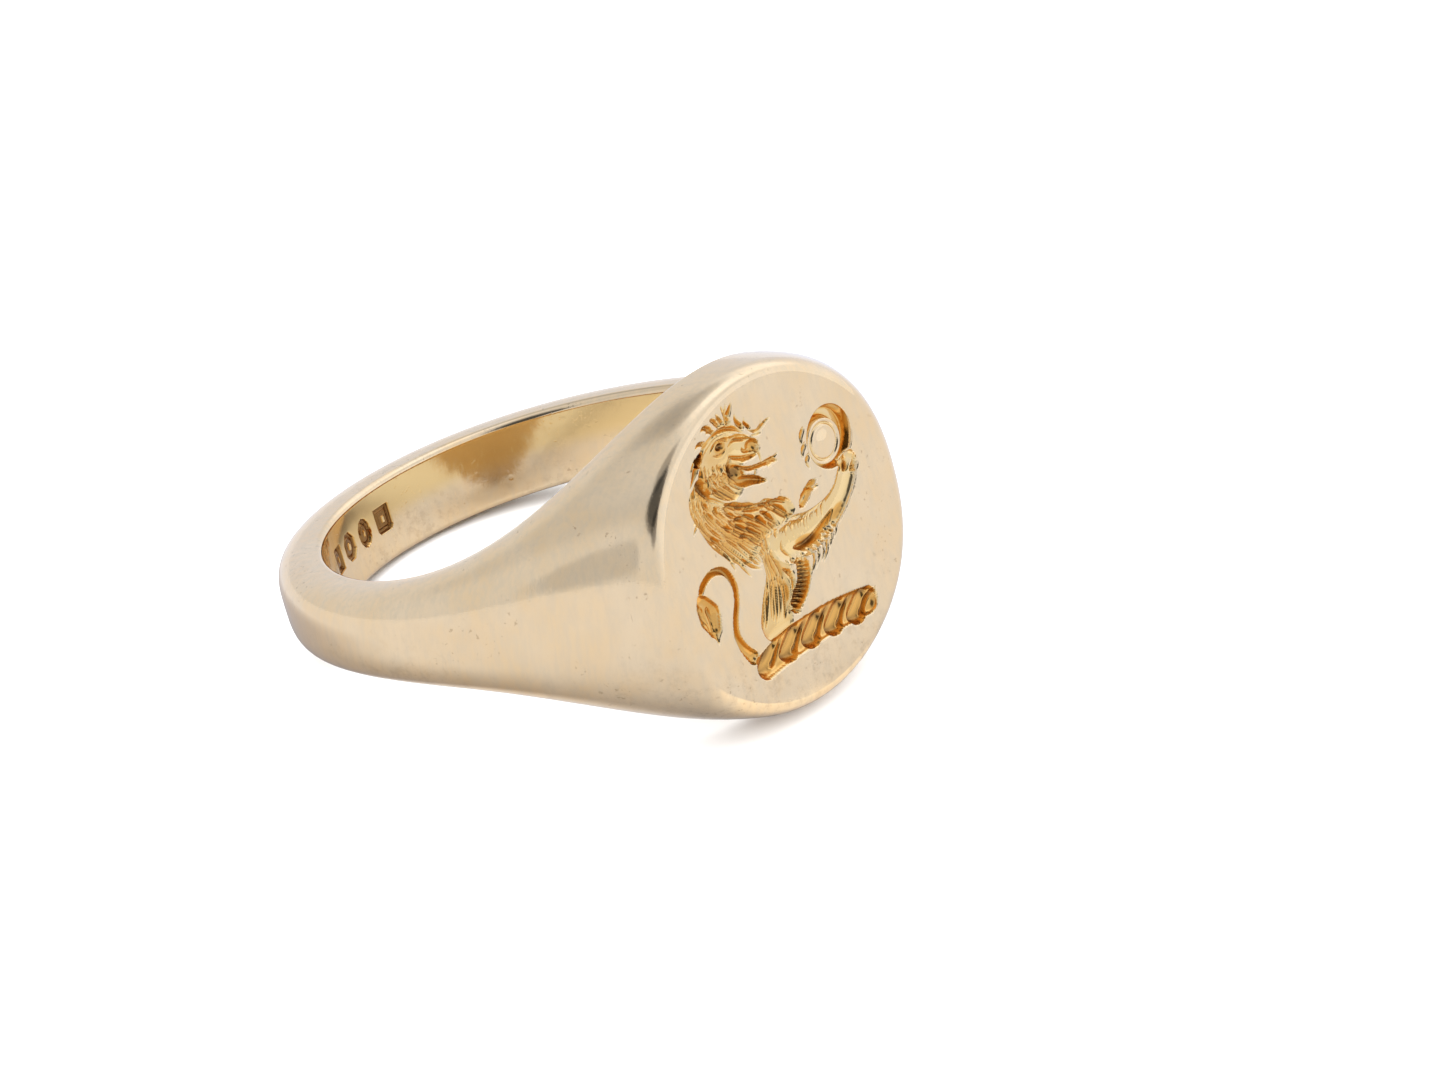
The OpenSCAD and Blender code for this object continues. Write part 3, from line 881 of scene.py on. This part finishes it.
def blend(tree, factor, a, b, label):
    """Colour a where the factor is 0 and b where it is 1. Either may be a colour or a socket."""
    return node(tree, "Mix", label, data_type="RGBA", Factor=factor, A=a, B=b).outputs["Result"]


def start_material(name, place):
    """A new material, its shader, and the place of each point on the object."""
    material = bpy.data.materials.new(name)
    material.use_nodes = True
    tree = material.node_tree
    where = node(tree, "TexCoord", place).outputs["Object"]
    return material, tree, tree.nodes["Principled BSDF"].inputs, where


def wear(tree, where):
    """The uneven polish, the marks and the dirt of a worn ring."""
    worn = {"clouds": noise(tree, where, 330, 3, "uneven polish"),
            "patches": noise(tree, where, 900, 2, "small uneven patches"),
            "grain": noise(tree, where, 6500, 2, "fine grain"),
            "hairs": hairlines(tree, where)}
    dings = node(tree, "TexVoronoi", "dings", Vector=where, Scale=900)
    worn["pits"] = ranged(tree, dings.outputs["Distance"], 0.05, 0.12, 1, 0, "small dings")
    worn["nicks"] = combine(
        tree, "MULTIPLY", places(tree, where, 5200, 2, 0.63, 0.7, "nicks", 0.6),
        places(tree, where, 620, 1, 0.5, 0.62, "nicked places"), "nicks in places")
    rubbing = node(tree, "Mapping", "rubbed along the finger", Vector=where, Scale=RUBBING_SCALE)
    worn["rubbed"] = noise(tree, rubbing.outputs["Vector"], 1.0, 3, "rubbed lines", 0.7)
    height = node(tree, "SeparateXYZ", "height above the table", Vector=where)
    dirty = combine(
        tree, "MULTIPLY", ranged(tree, height.outputs["Z"], *LOW_DOWN, 1, 0.06, "low down"),
        places(tree, where, 300, 2, 0.4, 0.6, "dirty places"), "low dirty places")
    worn["specks"] = combine(
        tree, "MULTIPLY", places(tree, where, 2200, 5, 0.47, 0.66, "specks", 0.8), dirty,
        "specks of dirt")
    return worn


def gold_tone(tree, worn, cut, colour, hazy_colour):
    """Gold that is hazy, rubbed and dirty in places, with painted shade in the finger hole and the
    engraving, and darker punched marks.
    """
    marks = combine(tree, "MAXIMUM",
                    combine(tree, "MULTIPLY", worn["specks"], 0.24, "thin dirt"),
                    combine(tree, "MULTIPLY", worn["nicks"], 0.4, "dark nicks"), "dirt and nicks")
    tone = colour
    for factor, over, label in (
            (ranged(tree, worn["clouds"], 0.35, 0.65, 0, 1, "hazy places"), hazy_colour, "hazy"),
            (ranged(tree, worn["patches"], 0.4, 0.7, 0, 0.3, "patchy haze"), HAZE, "patchy"),
            (ranged(tree, worn["rubbed"], 0.38, 0.68, 0, 0.5, "rubbed haze"), RUBBED, "rubbed"),
            (marks, DIRT, "dirty"),
            # Painted shade by the cut attribute, and the darker punched marks
            (ranged(tree, cut, 0, 0.5, 0, 1, "warm places"), PAINTED_SHADE_GOLD, "warm"),
            (ranged(tree, cut, 0.5, 1, 0, 1, "fresh cuts"), DEEPER_PAINTED_SHADE_GOLD, "cut"),
            (ranged(tree, cut, 1, MARK_DARKNESS, 0, 0.85, "crevices"), DARKEST_GOLD, "crevices")):
        tone = blend(tree, factor, tone, over, label + " gold")
    return tone


def gold_polish(tree, worn, cut, roughness):
    polish = ranged(tree, worn["clouds"], 0.3, 0.7, roughness * 0.8, roughness * 1.4, "polish")
    for more in (combine(tree, "MULTIPLY", worn["hairs"], 0.08, "rough hairlines"),
                 ranged(tree, cut, 0.5, MARK_DARKNESS, 0, 0.12, "graver marks")):
        polish = combine(tree, "ADD", polish, more, "roughness")
    return polish


def gold_relief(tree, worn):
    relief = 0
    for part, depth in RELIEF:
        relief = combine(tree, "ADD", relief,
                         combine(tree, "MULTIPLY", worn[part], depth, part), "relief")
    bump = node(tree, "Bump", "fine relief", Strength=0.35, Distance=0.00001, Height=relief)
    return bump.outputs["Normal"]


def gold(name, colour, hazy_colour, roughness):
    material, tree, shader, where = start_material(name, "place on the ring")
    shader["Metallic"].default_value = 1.0
    cut = node(tree, "Attribute", "how dark", attribute_name="cut").outputs["Fac"]
    worn = wear(tree, where)
    put(tree, gold_tone(tree, worn, cut, colour, hazy_colour), shader["Base Color"])
    put(tree, gold_polish(tree, worn, cut, roughness), shader["Roughness"])
    put(tree, gold_relief(tree, worn), shader["Normal"])
    return material


# ---- Material: the table, seen by the camera as white and in the gold in other tones ----

PAPER_WHITES = ((0.93, 0.93, 0.93), (0.95, 0.95, 0.95))
TABLE_IN_GOLD = (0.394, 0.414, 0.478)
TABLE_DIM_IN_GOLD = (0.27, 0.265, 0.285)
TABLE_IN_HOLE = (0.52, 0.53, 0.58)
TABLE_BRIGHT_IN_GOLD = (0.62, 0.61, 0.62)
# Places on the table, and the distances from them over which a tone fades
MIDDLE = (0, 0, 0)
HOLE_REACH = (0.008, 0.0098)
RING_REACH = (0.0075, 0.0095)
DIM_SPOT = (-0.003, -0.002, 0)
DIM_REACH = (0.009, 0.0145)
BRIGHT_SPOT = (0.0118, 0.0, 0)
BRIGHT_REACH = (0.0025, 0.0055)


def near(tree, where, spot, reach, label, inside=1, outside=0):
    """A value that is one number near a spot and another away from it."""
    gap = combine(tree, "DISTANCE", where, spot, label, "VectorMath")
    return ranged(tree, gap, *reach, inside, outside, label)


def table_in_gold(tree, where):
    dim = combine(tree, "MULTIPLY", near(tree, where, DIM_SPOT, DIM_REACH, "close to the back"),
                  near(tree, where, MIDDLE, RING_REACH, "outside the ring", 0, 1), "dim part")
    tone = blend(tree, dim, TABLE_IN_GOLD, TABLE_DIM_IN_GOLD, "dim near the back")
    tone = blend(tree, near(tree, where, BRIGHT_SPOT, BRIGHT_REACH, "at the foot of the face"),
                 tone, TABLE_BRIGHT_IN_GOLD, "bright before the face")
    return blend(tree, near(tree, where, MIDDLE, HOLE_REACH, "in the hole"),
                 tone, TABLE_IN_HOLE, "bright in the hole")


def table_top():
    material, tree, shader, where = start_material("white_table", "place on the table")
    shader["Roughness"].default_value = 0.9
    shader["Specular IOR Level"].default_value = 0.1
    white = blend(tree, noise(tree, where, 60, 3, "paper"), *PAPER_WHITES, "paper white")
    ray = node(tree, "LightPath", "kind of ray")
    seen = blend(tree, ray.outputs["Is Camera Ray"], table_in_gold(tree, where), white,
                 "table in the gold or seen straight")
    put(tree, seen, shader["Base Color"])
    return material


# ---- Build the ring ----

materials = {
    "polished_gold": gold("polished_gold", (0.84, 0.605, 0.33), (0.85, 0.64, 0.38), 0.09),
    "gold_solder": gold("gold_solder", (0.83, 0.6, 0.33), (0.84, 0.63, 0.375), 0.1),
}
ring_frame = ring_matrix()
shoulder_angles = steps_between(HEAD_SEAM + SEAM_ANGLE, SHANK_SEAM, SWEEP_STEP)
head_solder = steps_between(HEAD_SEAM, HEAD_SEAM + SEAM_ANGLE, SEAM_ANGLE / 2)
shank_solder = steps_between(SHANK_SEAM, SHANK_SEAM + SEAM_ANGLE, SEAM_ANGLE / 2)

ring_pieces = [
    build_seal_plate(),
    build_plate_solder(),
    sweep("head_block", head_angles(), BLOCK_X),
    sweep("left_head_solder", head_solder),
    sweep("right_head_solder", -head_solder[::-1]),
    sweep("left_shoulder", shoulder_angles),
    sweep("right_shoulder", -shoulder_angles[::-1]),
    sweep("left_shank_solder", shank_solder),
    sweep("right_shank_solder", -shank_solder[::-1]),
    sweep("shank", shank_angles(), bore_steps=MARK_BORE_STEPS, marked=True),
]
for piece in ring_pieces:
    name = piece.name.removeprefix("ring_")
    slot_name = "gold_solder" if "solder" in name else "polished_gold"
    piece.data.transform(ring_frame)
    piece.data.materials.append(materials[slot_name])
    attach(piece, "root")
    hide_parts(name)


# ---- Table ----

def build_table(radius=1.0, sides=96):
    mesh = bpy.data.meshes.new("table")
    angles = [2 * math.pi * i / sides for i in range(sides)]
    mesh.from_pydata([(radius * math.cos(a), radius * math.sin(a), 0) for a in angles], [],
                     [list(range(sides))])
    obj = bpy.data.objects.new("table", mesh)
    bpy.context.scene.collection.objects.link(obj)
    mesh.materials.append(table_top())


build_table()


# ---- Light: a white tent with a few darker gaps, seen only in the gold ----

# Brightness of the tent at heights from the horizon (0) to straight up (1)
TENT_BRIGHTNESS = ((0.0, 0.86), (0.3, 0.86), (0.5, 0.84), (0.62, 0.74), (0.74, 0.74),
                   (0.86, 0.8), (1.0, 0.84))
# Darker gaps and brighter panels: azimuth and elevation, half angles where they start and
# stop, and the brightness there as a share of the tent's
TENT_PATCHES = (
    (-40, 45, 14, 23, 0.15),
    (-32, 27, 6, 13, 0.35),
    (-45, 66, 8, 18, 0.5),
    (-76, 11, 7, 13, 0.78),
    (155, 52, 8, 24, 0.66),
    (110, 54, 10, 40, 1.45),
    (50, 20, 20, 85, 1.32),
)
TENT_COLOUR = (0.97, 1.04, 1.24)
TENT_ON_DIFFUSE = 2.8
WHITE = (1, 1, 1)


def heading(azimuth, elevation):
    """Unit vector toward an azimuth and an elevation in degrees."""
    a, e = math.radians(azimuth), math.radians(elevation)
    return Vector((math.cos(a) * math.cos(e), math.sin(a) * math.cos(e), math.sin(e)))


def tent_level(tree, direction):
    """Brightness of the tent in each direction."""
    height = node(tree, "SeparateXYZ", "height above the horizon", Vector=direction).outputs["Z"]
    ramp = node(tree, "FloatCurve", "tent from the horizon up", Value=height)
    curve = ramp.mapping.curves[0]
    for place, level in TENT_BRIGHTNESS[1:-1]:
        curve.points.new(place, level / 2)
    curve.points[0].location = (0, TENT_BRIGHTNESS[0][1] / 2)
    curve.points[-1].location = (1, TENT_BRIGHTNESS[-1][1] / 2)
    ramp.mapping.update()
    level = combine(tree, "MULTIPLY", ramp.outputs[0], 2.0, "tent brightness")
    for azimuth, elevation, start, stop, share in TENT_PATCHES:
        toward = combine(tree, "DOT_PRODUCT", direction, heading(azimuth, elevation),
                         "toward a patch", "VectorMath")
        patch = ranged(tree, toward, math.cos(math.radians(stop)),
                       math.cos(math.radians(start)), 1, share, "gap or panel")
        level = combine(tree, "MULTIPLY", level, patch, "tent with its gaps and panels")
    return level


def background(tree, label, colour, strength=1.0):
    return node(tree, "Background", label, Color=colour, Strength=strength).outputs[0]


def switch(tree, factor, a, b, label):
    """Light a where the factor is 0 and b where it is 1."""
    mix = node(tree, "MixShader", label)
    for socket, value in zip(mix.inputs, (factor, a, b)):
        put(tree, value, socket)
    return mix.outputs[0]


def build_world():
    world = bpy.data.worlds.new("light_tent")
    bpy.context.scene.world = world
    world.use_nodes = True
    tree = world.node_tree
    tree.nodes.clear()
    direction = node(tree, "TexCoord", "direction").outputs["Generated"]
    tent = background(tree, "tent in the gold", TENT_COLOUR, tent_level(tree, direction))
    even = background(tree, "tent on the table", WHITE, TENT_ON_DIFFUSE)
    backdrop = background(tree, "backdrop", WHITE)
    ray = node(tree, "LightPath", "kind of ray").outputs
    light = switch(tree, ray["Is Diffuse Ray"], tent, even, "gold or table")
    seen = switch(tree, ray["Is Camera Ray"], light, backdrop, "or camera")
    node(tree, "OutputWorld", "world", Surface=seen)


build_world()


# ---- Camera, at the photo's viewing angle ----

AIM = Vector((4.218, 2.219, 3.274)) * MM
CAMERA_AZIMUTH = -45.45
CAMERA_ELEVATION = 29.44
CAMERA_ROLL = -4.99
CAMERA_DISTANCE = 133.08 * MM
LENS = 99.39


def build_camera():
    camera = bpy.data.objects.new("camera", bpy.data.cameras.new("camera"))
    bpy.context.scene.collection.objects.link(camera)
    camera.data.lens, camera.data.sensor_width = LENS, 36
    camera.data.clip_start, camera.data.clip_end = 0.005, 5
    back = heading(CAMERA_AZIMUTH, CAMERA_ELEVATION)
    level = Vector((0, 0, 1)).cross(back).normalized()
    up = back.cross(level)
    roll = math.radians(CAMERA_ROLL)
    right = level * math.cos(roll) + up * math.sin(roll)
    turn = Matrix((right, back.cross(right), back)).transposed().to_4x4()
    camera.matrix_world = Matrix.Translation(AIM + back * CAMERA_DISTANCE) @ turn
    bpy.context.scene.camera = camera


build_camera()
bpy.context.scene.view_settings.view_transform = "Standard"

bpy.context.scene.cycles.glossy_bounces = 8
